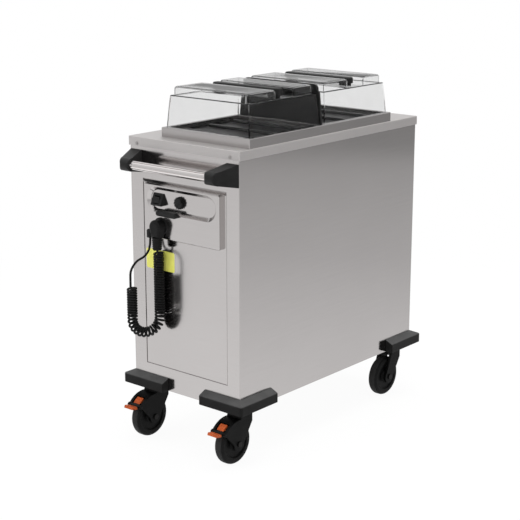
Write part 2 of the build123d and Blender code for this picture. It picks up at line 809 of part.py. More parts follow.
# Wells: each has a liner, a platform on a sprung carriage, and a heating element under its floor
guide_length = deck_under - base_height - base_thickness
guide_middle = (deck_under + base_height + base_thickness) / 2
arm_top = platform_z - arm_drop
slot_bottom = arm_top - arm_height - lift_travel - slot_margin
slot_half = arm_width / 2 + slot_margin
bearing_left = rod_x - rod_diameter / 2 - bearing_wall
carriage_left = carriage_right - carriage_plate
spring_top = deck_under
spring_bottom = carriage_bottom + bearing_height
for end, (well_start, well_end) in well_ranges.items():
    well_y = (well_start + well_end) / 2
    with BuildPart() as well_liner:
        block(
            (well_left - sheet, well_right + sheet),
            (well_start - sheet, well_end + sheet),
            (well_floor, deck_under),
        )
        block(
            (well_left, well_right),
            (well_start, well_end),
            (well_floor + sheet, deck_under),
            mode=Mode.SUBTRACT,
        )
        block(
            (well_left - sheet, well_left),
            (well_y - slot_half, well_y + slot_half),
            (slot_bottom, deck_under),
            mode=Mode.SUBTRACT,
        )
    save(well_liner, f"well_liner_{end}")

    plate_x = (well_left + platform_margin, well_right - platform_margin)
    plate_y = (well_start + platform_margin, well_end - platform_margin)
    plate_under = platform_z - platform_thickness
    carriage_y = (well_y - carriage_width / 2, well_y + carriage_width / 2)
    with BuildPart() as plate_platform:
        block(plate_x, plate_y, (platform_z - platform_lip, platform_z))
        fillet(plate_platform.edges().filter_by(Axis.Z), platform_corner)
        fillet(plate_platform.faces().sort_by(Axis.Z)[-1].edges(), platform_thickness)
        with BuildSketch(Plane.XY.offset(platform_z - platform_lip)):
            with Locations((well_x, well_y)):
                RectangleRounded(
                    plate_x[1] - plate_x[0] - 2 * platform_thickness,
                    plate_y[1] - plate_y[0] - 2 * platform_thickness,
                    platform_corner - platform_thickness,
                )
        extrude(amount=platform_lip - platform_thickness, mode=Mode.SUBTRACT)
        with Locations((well_x, well_y, platform_z + rib_height / 2)):
            with GridLocations(0, rib_spacing, 1, rib_count):
                Box(plate_x[1] - plate_x[0] - 2 * rib_inset, rib_width, rib_height)
        arm_y = (well_y - arm_width / 2, well_y + arm_width / 2)
        block((carriage_left, plate_x[0] + arm_reach), arm_y, (arm_top - arm_height, arm_top))
        block((plate_x[0] + rib_inset, plate_x[0] + arm_reach), arm_y, (arm_top, plate_under))
        block((carriage_left, carriage_right), carriage_y, (carriage_bottom, arm_top))
        block((bearing_left, carriage_left), carriage_y, (arm_top - bearing_height, arm_top))
        block(
            (spring_x - spring_diameter / 2, carriage_left),
            carriage_y,
            (carriage_bottom, carriage_bottom + bearing_height),
        )
        with BuildSketch(Plane.XY.offset(carriage_bottom)):
            with Locations((rod_x, well_y)):
                with GridLocations(0, rod_spacing, 1, 2):
                    Circle(rod_diameter / 2 + rod_clearance)
        extrude(amount=arm_top - carriage_bottom, mode=Mode.SUBTRACT)
    save(plate_platform, f"platform_{end}")

    with BuildPart() as lift_spring:
        with BuildSketch(Plane.XY.offset(spring_bottom)):
            with Locations((spring_x, well_y)):
                Circle(spring_diameter / 2)
                Circle(spring_diameter / 2 - spring_wire, mode=Mode.SUBTRACT)
        extrude(amount=spring_top - spring_bottom)
    save(lift_spring, f"lift_spring_{end}")

with BuildPart() as guide_rods:
    for well_start, well_end in well_ranges.values():
        with Locations((rod_x, (well_start + well_end) / 2, guide_middle)):
            with GridLocations(0, rod_spacing, 1, 2):
                Cylinder(rod_diameter / 2, guide_length)
save(guide_rods, "guide_rods")

heater_z = well_floor - heater_diameter / 2
with BuildPart() as heating_elements:
    for well_start, well_end in well_ranges.values():
        well_y = (well_start + well_end) / 2
        near_x = well_left + heater_inset
        far_x = well_right - heater_inset
        with BuildLine():
            FilletPolyline(
                (near_x, well_y - 1.5 * heater_pass, heater_z),
                (far_x, well_y - 1.5 * heater_pass, heater_z),
                (far_x, well_y - heater_pass / 2, heater_z),
                (near_x + heater_return, well_y - heater_pass / 2, heater_z),
                (near_x + heater_return, well_y + heater_pass / 2, heater_z),
                (far_x, well_y + heater_pass / 2, heater_z),
                (far_x, well_y + 1.5 * heater_pass, heater_z),
                (near_x, well_y + 1.5 * heater_pass, heater_z),
                radius=heater_bend,
            )
        with BuildSketch(Plane((near_x, well_y - 1.5 * heater_pass, heater_z), z_dir=(1, 0, 0))):
            Circle(heater_diameter / 2)
        sweep()
save(heating_elements, "heating_elements")

terminal_front = seat_y + sheet + terminal_setback
with BuildPart() as terminal_block:
    block(
        (-terminal_length, 0),
        (terminal_front, terminal_front + terminal_width),
        (base_height + base_thickness, base_height + base_thickness + terminal_height),
    )
    fillet(terminal_block.edges().filter_by(Axis.Z), terminal_round)
save(terminal_block, "terminal_block")

# Lids: a flared clear hood with a stepped top, cut by a channel that holds a handle bar
lid_bottom = rim_top + lid_clearance
shoulder_z = lid_bottom + lid_skirt
lid_top = shoulder_z + lid_step
step_inset = lid_draft + lid_ledge
step_width = lid_width - 2 * step_inset
channel_start = (lid_length - channel_width) / 2 + channel_setback
channel_end = channel_start + channel_width
draft_angle = math.degrees(math.atan(lid_draft / lid_skirt))


def lid_form(lid_start, wall):
    """The lid's outer form, or with a wall the space inside it."""
    lid_y = lid_start + lid_length / 2
    steps = ((step_inset, channel_start), (channel_end, lid_length - step_inset))
    with BuildPart() as form:
        with BuildSketch(Plane.XY.offset(lid_bottom)):
            with Locations((rim_x, lid_y)):
                RectangleRounded(lid_width - 2 * wall, lid_length - 2 * wall, lid_base_corner - wall)
        extrude(amount=lid_skirt - wall, taper=draft_angle)
        for low, high in steps:
            with BuildSketch(Plane.XY.offset(shoulder_z - 2 * wall)):
                with Locations((rim_x, lid_start + (low + high) / 2)):
                    RectangleRounded(step_width - 2 * wall, high - low - 2 * wall, lid_step_corner - wall)
            extrude(amount=lid_step + wall)
        fillet(form.faces().group_by(Axis.Z)[-1].edges(), lid_step_round - wall)
    return form.part


for end, lid_start in lid_starts.items():
    with BuildPart() as lid:
        add(lid_form(lid_start, 0.0))
        add(lid_form(lid_start, lid_wall), mode=Mode.SUBTRACT)
    save(lid, f"lid_{end}")

    bar_y = lid_start + (channel_start + channel_end) / 2
    bar_length = step_width - 2 * bar_end_inset
    with BuildPart() as lid_handle:
        with BuildSketch(Plane.XY.offset(lid_top)):
            with Locations((rim_x, bar_y)):
                RectangleRounded(bar_length, bar_width, bar_corner)
        extrude(amount=-bar_height)
        fillet(lid_handle.faces().sort_by(Axis.Z)[-1].edges(), bar_round)
        with BuildSketch(Plane.XY.offset(shoulder_z)):
            with Locations((rim_x, bar_y)):
                with GridLocations(bar_length - foot_length, 0, 2, 1):
                    SlotOverall(foot_length - 2 * foot_inset, bar_width - 2 * foot_inset)
        extrude(amount=lid_step - bar_height + foot_sink)
    save(lid_handle, f"lid_handle_{end}")

divider_y = lid_starts["rear"] - lid_gap / 2
divider_half = lid_width / 2 - divider_inset
with BuildPart() as lid_divider:
    with BuildSketch(facing_front(divider_y + divider_thickness / 2, rim_x, 0)):
        with BuildLine():
            Polyline(
                (-divider_half, rim_top),
                (divider_half, rim_top),
                (divider_half - lid_draft, shoulder_z),
                (divider_half - step_inset, shoulder_z + lid_ledge),
                (divider_half - step_inset, lid_top - divider_inset),
                (-divider_half + step_inset, lid_top - divider_inset),
                (-divider_half + step_inset, shoulder_z + lid_ledge),
                (-divider_half + lid_draft, shoulder_z),
                close=True,
            )
        make_face()
    extrude(amount=divider_thickness)
    top_corners = lid_divider.edges().filter_by(Axis.Y).group_by(Axis.Z)[-1]
    fillet(top_corners, divider_corner)
save(lid_divider, "lid_divider")

# Push handle: the brackets lean in towards the middle of the tube
handle_y = front_y - handle_reach
handle_z = deck_height - handle_drop
nose_y = handle_y - bracket_nose_ahead
bracket_outer = side_x - bracket_inset
tip_outer = bracket_outer - bracket_lean
tip_inner = tip_outer - bracket_tip_width
handle_half = tip_inner + handle_seat
with BuildPart() as handle_tube:
    with BuildSketch(Plane.YZ.offset(-handle_half)):
        with Locations((handle_y, handle_z)):
            Circle(handle_diameter / 2)
            Circle(handle_bore / 2, mode=Mode.SUBTRACT)
    extrude(amount=2 * handle_half)
save(handle_tube, "handle_tube")

for side, sign in (("left", -1), ("right", 1)):
    with BuildPart() as handle_bracket:
        with BuildSketch(Plane.YZ):
            with BuildLine():
                Polyline(
                    (front_y, handle_z - bracket_below),
                    (front_y, handle_z + bracket_above),
                    (nose_y, handle_z + bracket_nose),
                    (nose_y, handle_z - bracket_nose),
                    close=True,
                )
            make_face()
            with Locations((nose_y, handle_z)):
                Circle(bracket_nose)
        extrude(amount=sign * side_x)
        with BuildSketch(Plane.XY.offset(handle_z - bracket_below)) as bracket_plan:
            with BuildLine():
                Polyline(
                    (sign * bracket_outer, front_y),
                    (sign * (bracket_outer - bracket_width), front_y),
                    (sign * tip_inner, front_y - bracket_reach),
                    (sign * tip_outer, front_y - bracket_reach),
                    close=True,
                )
            make_face()
            fillet(bracket_plan.vertices().group_by(Axis.Y)[0], bracket_tip_round)
        extrude(amount=bracket_below + bracket_above, mode=Mode.INTERSECT)
        with Locations(Plane((0, handle_y, handle_z), x_dir=(0, 1, 0), z_dir=(1, 0, 0))):
            Cylinder(handle_diameter / 2, 2 * handle_half, mode=Mode.SUBTRACT)
    save(handle_bracket, f"handle_bracket_{side}")

# Corner bumpers: a block with a sloped top, cut back to two legs along the cabinet
bumper_shoulder = base_height + bumper_height - bumper_slope
bumper_top_angle = math.degrees(math.atan(bumper_proud / bumper_slope))
bumper_reach = bumper_leg + bumper_proud
bumper_rise = (base_height, base_height + bumper_height)
for end, face_y, along_y in (("front", front_y, -1), ("rear", rear_y, 1)):
    for side, along_x in (("left", -1), ("right", 1)):
        corner_x = along_x * side_x
        outer_x = corner_x + along_x * bumper_proud
        outer_y = face_y + along_y * bumper_proud
        end_x = corner_x - along_x * bumper_leg
        end_y = face_y - along_y * bumper_leg
        far_x = corner_x - along_x * bumper_reach
        far_y = face_y - along_y * bumper_reach
        with BuildPart() as bumper:
            block(sorted((far_x, outer_x)), sorted((far_y, outer_y)), (base_height, bumper_shoulder))
            uprights = bumper.edges().filter_by(Axis.Z)
            fillet(uprights.sort_by_distance((outer_x, outer_y, base_height))[0], bumper_corner)
            extrude(bumper.faces().sort_by(Axis.Z)[-1], amount=bumper_slope, taper=bumper_top_angle)
            block(sorted((far_x, corner_x)), sorted((far_y, face_y)), bumper_rise, mode=Mode.SUBTRACT)
            block(sorted((far_x, end_x)), sorted((far_y, outer_y)), bumper_rise, mode=Mode.SUBTRACT)
            block(sorted((far_x, outer_x)), sorted((far_y, end_y)), bumper_rise, mode=Mode.SUBTRACT)
            uprights = bumper.edges().filter_by(Axis.Z)
            ends = [
                uprights.sort_by_distance(corner)[0]
                for corner in ((end_x, outer_y, base_height), (outer_x, end_y, base_height))
            ]
            fillet(ends, bumper_end_round)
        save(bumper, f"bumper_{end}_{side}")

# Castors
plate_bottom = base_height - plate_thickness
pin_bottom = plate_bottom - king_pin_length
with BuildPart() as castor_plates:
    for end_y in castor_y.values():
        for sign in (-1, 1):
            with Locations((sign * castor_x, end_y, base_height - plate_thickness / 2)):
                Box(plate_width, plate_length, plate_thickness)
            with Locations((sign * castor_x, end_y, (plate_bottom + pin_bottom) / 2)):
                Cylinder(king_pin / 2, plate_bottom - pin_bottom)
save(castor_plates, "castor_plates")

fork_inner = wheel_width / 2 + fork_gap
fork_outer = fork_inner + fork_wall
crown_top = plate_bottom - crown_gap
guard_crown_angle = math.degrees(math.acos((castor_trail - crown_diameter / 2) / guard_radius))
for end, swivel_y in castor_y.items():
    braked = end == "front"
    wheel_y = swivel_y - castor_trail
    pedal_y = wheel_y - pedal_pivot_ahead
    crown_front = swivel_y - crown_diameter / 2
    crown_rear = swivel_y + crown_diameter / 2
    wheel_cavity = wheel_diameter / 2 + (wheel_room if braked else arch_room)
    for side, sign in (("left", -1), ("right", 1)):
        swivel_x = sign * castor_x
        name = f"{end}_{side}"
        with BuildPart() as castor_fork:
            with BuildSketch(Plane.YZ.offset(swivel_x - fork_outer)):
                with BuildLine():
                    Polyline(
                        (crown_front, crown_top),
                        (crown_rear, crown_top),
                        (crown_rear, crown_bottom),
                        (wheel_y + axle_boss, axle_z),
                        (wheel_y - axle_boss, axle_z),
                        (crown_front, crown_top - crown_lip),
                        close=True,
                    )
                make_face()
                with Locations((wheel_y, axle_z)):
                    Circle(axle_boss)
                if braked:
                    with BuildLine():
                        guard = CenterArc(
                            (wheel_y, axle_z),
                            guard_radius,
                            guard_crown_angle,
                            180 - guard_nose_angle - guard_crown_angle,
                        )
                        Polyline(guard @ 1, (wheel_y - axle_boss, axle_z), (wheel_y, axle_z), guard @ 0)
                    make_face()
                    with Locations((pedal_y, pedal_pivot_z)):
                        Circle(pedal_eye)
            extrude(amount=2 * fork_outer)
            with Locations(Plane((swivel_x, wheel_y, axle_z), x_dir=(0, 1, 0), z_dir=(1, 0, 0))):
                Cylinder(wheel_cavity, 2 * fork_inner, mode=Mode.SUBTRACT)
            block(
                (swivel_x - fork_inner, swivel_x + fork_inner),
                (wheel_y - wheel_diameter, wheel_y + wheel_diameter),
                (0, axle_z),
                mode=Mode.SUBTRACT,
            )
            if braked:
                block(
                    (swivel_x - fork_inner, swivel_x + fork_inner),
                    (wheel_y - wheel_diameter, wheel_y - guard_ahead),
                    (0, crown_top),
                    mode=Mode.SUBTRACT,
                )
                with Locations(Plane((swivel_x, pedal_y, pedal_pivot_z), x_dir=(0, 1, 0), z_dir=(1, 0, 0))):
                    Cylinder(pedal_pin / 2 + running_clearance, 2 * fork_outer, mode=Mode.SUBTRACT)
            with Locations((swivel_x, swivel_y, (crown_top + pin_bottom - king_pin_gap) / 2)):
                Cylinder(
                    king_pin / 2 + running_clearance,
                    crown_top - pin_bottom + king_pin_gap,
                    mode=Mode.SUBTRACT,
                )
            with Locations(Plane((swivel_x, wheel_y, axle_z), x_dir=(0, 1, 0), z_dir=(1, 0, 0))):
                Cylinder(axle_diameter / 2, 2 * fork_outer, mode=Mode.SUBTRACT)
        save(castor_fork, f"castor_fork_{name}")

        with BuildPart() as castor_axle:
            with Locations(Plane((swivel_x, wheel_y, axle_z), x_dir=(0, 1, 0), z_dir=(1, 0, 0))):
                Cylinder(axle_diameter / 2, 2 * fork_outer)
                head_middle = fork_outer + axle_head_height / 2
                with Locations((0, 0, head_middle), (0, 0, -head_middle)):
                    Cylinder(axle_head / 2, axle_head_height)
        save(castor_axle, f"castor_axle_{name}")

        hub_half = fork_inner - hub_gap
        wheel_half = wheel_width / 2
        core_radius = core_diameter / 2
        wheel_axis = Axis((0, wheel_y, axle_z), (1, 0, 0))
        with BuildPart() as wheel_core:
            with BuildSketch(Plane((swivel_x, wheel_y, axle_z), x_dir=(1, 0, 0), z_dir=(0, 1, 0))):
                with BuildLine():
                    Polyline(
                        (-hub_half, axle_diameter / 2 + running_clearance),
                        (-hub_half, hub_diameter / 2),
                        (-wheel_half + core_recess, hub_diameter / 2 + core_recess),
                        (-wheel_half + core_recess, core_radius - core_recess),
                        (-wheel_half, core_radius - core_recess / 2),
                        (-wheel_half, core_radius),
                        (wheel_half, core_radius),
                        (wheel_half, core_radius - core_recess / 2),
                        (wheel_half - core_recess, core_radius - core_recess),
                        (wheel_half - core_recess, hub_diameter / 2 + core_recess),
                        (hub_half, hub_diameter / 2),
                        (hub_half, axle_diameter / 2 + running_clearance),
                        close=True,
                    )
                make_face()
            revolve(axis=wheel_axis)
        save(wheel_core, f"wheel_core_{name}")

        with BuildPart() as tyre:
            with BuildSketch(Plane((swivel_x, wheel_y, axle_z), x_dir=(0, 1, 0), z_dir=(1, 0, 0))):
                Circle(wheel_diameter / 2)
            extrude(amount=wheel_half, both=True)
            fillet(tyre.edges().filter_by(GeomType.CIRCLE), tread_round)
            with Locations(Plane((swivel_x, wheel_y, axle_z), x_dir=(0, 1, 0), z_dir=(1, 0, 0))):
                Cylinder(core_radius, wheel_width, mode=Mode.SUBTRACT)
        save(tyre, f"tyre_{name}")

        if braked:
            pedal_half = fork_inner - pedal_gap
            tab_start, tab_end = [180 - angle for angle in tab_angles]
            tab_inner = wheel_diameter / 2 + tab_gap
            with BuildPart() as brake_pedal:
                with BuildSketch(Plane.YZ.offset(swivel_x - pedal_half)):
                    with BuildLine():
                        corners = [(pedal_y + ahead, pedal_pivot_z + rise) for ahead, rise in tongue_corners]
                        Polyline(*corners, close=True)
                    make_face()
                    with Locations((pedal_y, pedal_pivot_z)):
                        Circle(pedal_boss)
                extrude(amount=2 * pedal_half)
                with BuildSketch(Plane.YZ.offset(swivel_x - tab_width / 2)):
                    with BuildLine():
                        outside = CenterArc((wheel_y, axle_z), guard_radius, tab_end, tab_start - tab_end)
                        inside = CenterArc((wheel_y, axle_z), tab_inner, tab_end, tab_start - tab_end)
                        Line(outside @ 0, inside @ 0)
                        Line(outside @ 1, inside @ 1)
                    make_face()
                extrude(amount=tab_width)
                with Locations(Plane((swivel_x, pedal_y, pedal_pivot_z), x_dir=(0, 1, 0), z_dir=(1, 0, 0))):
                    Cylinder(pedal_pin / 2, 2 * fork_outer)
            save(brake_pedal, f"brake_pedal_{side}")
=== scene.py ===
import bpy
import json
import math
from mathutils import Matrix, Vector


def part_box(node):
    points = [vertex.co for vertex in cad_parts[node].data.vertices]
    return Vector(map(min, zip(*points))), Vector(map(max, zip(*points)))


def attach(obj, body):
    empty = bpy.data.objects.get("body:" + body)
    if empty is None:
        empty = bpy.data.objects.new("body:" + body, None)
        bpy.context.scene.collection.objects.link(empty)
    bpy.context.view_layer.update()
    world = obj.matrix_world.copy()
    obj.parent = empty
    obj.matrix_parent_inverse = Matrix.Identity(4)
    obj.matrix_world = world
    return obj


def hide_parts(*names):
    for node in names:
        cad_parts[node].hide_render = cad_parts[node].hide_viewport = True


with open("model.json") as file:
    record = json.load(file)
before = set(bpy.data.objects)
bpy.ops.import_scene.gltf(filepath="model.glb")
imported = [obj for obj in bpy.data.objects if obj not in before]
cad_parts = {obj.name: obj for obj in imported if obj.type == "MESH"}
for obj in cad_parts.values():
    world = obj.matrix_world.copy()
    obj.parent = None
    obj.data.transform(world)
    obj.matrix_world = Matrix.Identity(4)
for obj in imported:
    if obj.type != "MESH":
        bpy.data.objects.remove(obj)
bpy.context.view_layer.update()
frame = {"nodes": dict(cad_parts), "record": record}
nodes = frame["nodes"]
bodyOf = {node: body for body, group in frame["record"]["behaviour"]["bodies"].items() for node in group}
slotOf = {part["node"]: part["material_slot"] for part in frame["record"]["subparts"]}
scene = bpy.context.scene
scene.view_settings.view_transform = "Standard"
corners = ["front_left", "front_right", "rear_left", "rear_right"]
print("frame loaded:", len(nodes), "nodes")

# camera at the photograph's viewpoint
cameraPlan = {
    "place": (2.479, -3.0007, 1.508),
    "azimuth": 40.13,
    "elevation": 14.64,
    "lens": 91.72,
    "sensor": 36,
}
cameraTurn = (math.radians(90 - cameraPlan["elevation"]), 0, math.radians(cameraPlan["azimuth"]))
bpy.ops.object.camera_add(location=cameraPlan["place"], rotation=cameraTurn)
scene.camera = bpy.context.object
scene.camera.data.lens = cameraPlan["lens"]
scene.camera.data.sensor_width = cameraPlan["sensor"]
print("camera set")

meshPlan = {
    "sharp": 34,  # degrees between two faces from which their edge counts as sharp
    "merge": 0.00002,
    "flat": 0.5,  # degrees between two faces up to which they become one
    "edgeSteps": 2,
    "roundSteps": 3,
    "facing": 0.9,  # how nearly a face looks along an axis to count as an end face
    "onSide": 0.5,  # below this it counts as a side face
    "slack": 0.0001,  # steps, so that a face counts the same whichever way its angle rounds
}


def clearSelection():
    if bpy.context.object and bpy.context.object.mode != "OBJECT":
        bpy.ops.object.mode_set(mode="OBJECT")
    bpy.ops.object.select_all(action="DESELECT")


def takeUp(piece):  # one piece selected and active
    clearSelection()
    piece.select_set(True)
    bpy.context.view_layer.objects.active = piece


def editAll(piece):  # edit mode with everything selected
    takeUp(piece)
    bpy.ops.object.mode_set(mode="EDIT")
    bpy.ops.mesh.select_all(action="SELECT")


def settle(piece):  # modifiers applied, and place, turn and size moved into the mesh
    takeUp(piece)
    for modifier in list(piece.modifiers):
        bpy.ops.object.modifier_apply(modifier=modifier.name)
    bpy.ops.object.transform_apply(location=True, rotation=True, scale=True)


def doubled(piece):
    takeUp(piece)
    bpy.ops.object.duplicate(linked=False)
    return bpy.context.object


def smooth(piece, angle=meshPlan["sharp"]):
    takeUp(piece)
    bpy.ops.object.shade_smooth_by_angle(angle=math.radians(angle))


def flatter(piece):  # rounded edges shade as part of the large faces beside them
    takeUp(piece)
    piece.modifiers.new("flatter", "WEIGHTED_NORMAL").keep_sharp = True
    bpy.ops.object.modifier_apply(modifier="flatter")


def pick(piece, kind, test):  # edit mode with only the faces or edges that pass the test selected
    editAll(piece)
    bpy.ops.mesh.select_all(action="DESELECT")
    bpy.ops.mesh.select_mode(type=kind)
    bpy.ops.object.mode_set(mode="OBJECT")
    for part in piece.data.polygons if kind == "FACE" else piece.data.edges:
        part.select = bool(test(part))
    bpy.ops.object.mode_set(mode="EDIT")


def pickEdges(piece, onLine):  # the edges with both ends on a line
    pick(piece, "EDGE", lambda edge: all(onLine(piece.data.vertices[index].co) for index in edge.vertices))


def roundFront(piece, width):  # rounds the outline of the end that looks forward
    pick(piece, "FACE", lambda face: face.normal.y < -meshPlan["facing"])
    bpy.ops.mesh.bevel(offset=width, segments=meshPlan["roundSteps"], affect="EDGES")


def cutGrooves(piece, axis, plan):  # sinks one side face in so many, counted round the axis
    step = 2 * math.pi / plan["sides"]

    def chosen(face):
        turn = math.atan2(face.normal.z, face.normal[1 - axis])
        inTurn = math.floor(turn / step + meshPlan["slack"]) % plan["grooveEvery"] == 0
        return inTurn and abs(face.normal[axis]) < meshPlan["onSide"]

    pick(piece, "FACE", chosen)
    bpy.ops.mesh.inset(thickness=plan["grooveEdge"], depth=-plan["grooveDepth"], use_individual=True)


def cylinder(sides, radius, depth, place, turn):
    clearSelection()
    bpy.ops.mesh.primitive_cylinder_add(
        vertices=sides, radius=radius, depth=depth, location=place, rotation=turn
    )
    piece = bpy.context.object
    settle(piece)
    return piece


def block(size, place, turn):
    clearSelection()
    bpy.ops.mesh.primitive_cube_add(size=1, location=place)
    piece = bpy.context.object
    piece.scale = size
    piece.rotation_euler = turn
    settle(piece)
    return piece


def joined(pieces, name):
    clearSelection()
    for piece in pieces:
        piece.select_set(True)
    bpy.context.view_layer.objects.active = pieces[0]
    bpy.ops.object.join()
    pieces[0].name = name
    return pieces[0]


def coated(piece, *finishes):  # these finishes in place of any others
    piece.data.materials.clear()
    for finish in finishes:
        piece.data.materials.append(finish)


def dressed(piece, body, slot, *replaced):  # ride, slot (not used) and the nodes that it stands for
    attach(piece, body)
    if replaced:
        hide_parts(*replaced)
    return piece


def standIn(piece, node):  # takes its CAD node's body, and stands for it
    return dressed(piece, bodyOf[node], slotOf[node], node)


def camelName(node):
    first, *rest = node.split("_")
    return first + "".join(word.capitalize() for word in rest)


def mergedCopy(node):  # a CAD piece with its faces joined up
    piece = bpy.data.objects.new(camelName(node), nodes[node].data.copy())
    scene.collection.objects.link(piece)
    editAll(piece)
    bpy.ops.mesh.customdata_custom_splitnormals_clear()
    bpy.ops.mesh.remove_doubles(threshold=meshPlan["merge"])
    bpy.ops.mesh.dissolve_limited(angle_limit=math.radians(meshPlan["flat"]))
    clearSelection()
    return piece


def easedCopy(node, finish, width):  # a CAD piece with its edges rounded
    piece = mergedCopy(node)
    bevel = piece.modifiers.new("edges", "BEVEL")
    bevel.width = width
    bevel.segments = meshPlan["edgeSteps"]
    bevel.limit_method = "ANGLE"
    bevel.angle_limit = math.radians(meshPlan["sharp"])
    settle(piece)
    smooth(piece)
    flatter(piece)
    coated(piece, finish)
    return standIn(piece, node)


class Wire:  # a shader socket that can be used in sums
    def __init__(self, tree, socket=None):
        self.tree = tree
        self.socket = socket

    def node(self, kind, settings, inputs, out=0):  # any node: its type, its settings, its sockets
        made = self.tree.nodes.new(kind)
        for key, value in settings.items():
            if key == "stops":
                ramp = made.color_ramp
                while len(ramp.elements) < len(value):
                    ramp.elements.new(0.5)
                for element, (place, colour) in zip(ramp.elements, value):
                    element.position = place
                    element.color = (*colour, 1)
            else:
                setattr(made, key, value)
        for key, value in inputs.items():
            if isinstance(value, Wire):
                self.tree.links.new(value.socket, made.inputs[key])
            else:
                made.inputs[key].default_value = value
        return Wire(self.tree, made.outputs[out])

    def maths(self, operation, first, second):
        return self.node("ShaderNodeMath", {"operation": operation}, {0: first, 1: second})

    def __add__(self, other):
        return self.maths("ADD", self, other)

    def __radd__(self, other):
        return self.maths("ADD", other, self)

    def __mul__(self, other):
        return self.maths("MULTIPLY", self, other)

    def __rmul__(self, other):
        return self.maths("MULTIPLY", other, self)


def newFinish(name, constants, varying):  # varying is a function that gives the changing sockets
    finish = bpy.data.materials.new(name)
    finish.use_nodes = True
    tree = finish.node_tree
    tree.nodes.clear()
    output = tree.nodes.new("ShaderNodeOutputMaterial")
    shader = tree.nodes.new("ShaderNodeBsdfPrincipled")
    tree.links.new(shader.outputs[0], output.inputs[0])
    for key, value in constants.items():
        shader.inputs[key].default_value = value
    for key, wire in varying(Wire(tree)).items():
        tree.links.new(wire.socket, shader.inputs[key])
    return finish


coordinateOut = {"generated": 0, "normal": 1, "object": 3}  # outputs of the texture coordinate node
rayOut = {"camera": 0, "glossy": 3, "clear": 6}  # outputs of the light path node
noiseRoughness = 0.55


def coordinate(wire, kind):
    return wire.node("ShaderNodeTexCoord", {}, {}, out=coordinateOut[kind])


def onAxis(wire, kind, axis):  # one axis of a coordinate
    return wire.node("ShaderNodeSeparateXYZ", {}, {"Vector": coordinate(wire, kind)}, out="xyz".index(axis))


def noise(wire, scale, detail, spread=(1, 1, 1)):  # spread stretches it along an axis
    spot = wire.node("ShaderNodeMapping", {}, {"Vector": coordinate(wire, "object"), "Scale": spread})
    settings = {"Vector": spot, "Scale": scale, "Detail": detail, "Roughness": noiseRoughness}
    return wire.node("ShaderNodeTexNoise", {}, settings)


def ramped(wire, factor, stops):
    return wire.node("ShaderNodeValToRGB", {"stops": stops}, {"Fac": factor})


def tone(value, warm=0.0):
    return (value * (1 + warm), value, value * (1 - warm / 4))


def toned(wire, factor, pair, stops=(0.3, 0.7)):  # from one grey or colour to another
    colours = [value if isinstance(value, tuple) else tone(value) for value in pair]
    return ramped(wire, factor, list(zip(stops, colours)))


def mixed(wire, factor, first, second):
    return wire.node("ShaderNodeMix", {"data_type": "RGBA"}, {0: factor, 6: first, 7: second}, out=2)


def bumped(wire, height, relief):
    strength, distance = relief
    return wire.node("ShaderNodeBump", {}, {"Height": height, "Strength": strength, "Distance": distance})


def between(limits, share):
    first, last = limits
    return first + (last - first) * share


# finishes: noises by their scale, greys and roughness by their range, relief by strength and distance
steelPlan = {
    "value": 0.52,
    "swing": 0.02,
    "warm": 0.042,
    "grain": 900,
    "stretch": 0.010,
    "cloud": 2.2,
    "smudge": 14,
    "roughness": (0.09, 0.15),
    "metal": 1.0,
    "relief": (0.015, 0.0002),
}


def satinSteel(name, along, plan):  # brushed along one axis
    spread = tuple(plan["stretch"] if axis == along else 1 for axis in "xyz")

    def varying(wire):
        grain = noise(wire, plan["grain"], detail=2, spread=spread)
        cloud = noise(wire, plan["cloud"], detail=3)
        smudge = noise(wire, plan["smudge"], detail=4)
        low = tone(plan["value"] - plan["swing"], plan["warm"])
        high = tone(plan["value"] + plan["swing"], plan["warm"])
        return {
            "Base Color": toned(wire, grain * 0.5 + cloud * 0.5, (low, high)),
            "Roughness": between(plan["roughness"], grain * 0.5 + smudge * 0.5),
            "Normal": bumped(wire, grain, plan["relief"]),
        }

    return newFinish(name, {"Metallic": plan["metal"]}, varying)


plasticPlan = {
    "greys": (0.008, 0.015),
    "grain": 1400,
    "cloud": 22,
    "roughness": (0.36, 0.50),
    "shine": 0.18,
    "relief": (0.22, 0.0002),
}


def mouldedPlastic(name, plan):
    def varying(wire):
        grain = noise(wire, plan["grain"], detail=2)
        cloud = noise(wire, plan["cloud"], detail=3)
        return {
            "Base Color": toned(wire, cloud, plan["greys"]),
            "Roughness": between(plan["roughness"], cloud * 0.7 + grain * 0.3),
            "Normal": bumped(wire, grain, plan["relief"]),
        }

    return newFinish(name, {"Specular IOR Level": plan["shine"]}, varying)


clearPlan = {
    "sheet": (0.865, 0.885),
    # painted shade: near-black tint for the lines where the sheet turns, standing in for the dark lines
    # refraction makes there
    "edge": (0.004, 0.008),
    "haze": 30,
    "roughness": (0.01, 0.05),
    "ior": 1.19,
}


def clearSheet(name, greys):
    def varying(wire):
        haze = noise(wire, clearPlan["haze"], detail=3)
        return {
            "Base Color": toned(wire, haze, greys),
            "Roughness": between(clearPlan["roughness"], haze),
        }

    return newFinish(name, {"IOR": clearPlan["ior"], "Transmission Weight": 1.0}, varying)


platformPlan = {
    "plate": (0.006, 0.010),
    "rib": (0.06, 0.09),
    "ribFoot": 0.9145,
    "grain": 600,
    "stretch": 0.012,
    "roughness": (0.34, 0.46),
    "relief": (0.05, 0.0003),
}


def platformSteel(name, plan):  # plate painted near black as painted shade in the well, with paler cross ribs
    def varying(wire):
        grain = noise(wire, plan["grain"], detail=2, spread=(plan["stretch"], 1, 1))
        onRib = wire.maths("GREATER_THAN", onAxis(wire, "object", "z"), plan["ribFoot"])
        plate = toned(wire, grain, plan["plate"])
        rib = toned(wire, grain, plan["rib"])
        return {
            "Base Color": mixed(wire, onRib, plate, rib),
            "Roughness": between(plan["roughness"], grain),
            "Normal": bumped(wire, grain, plan["relief"]),
        }

    return newFinish(name, {"Metallic": 1.0}, varying)


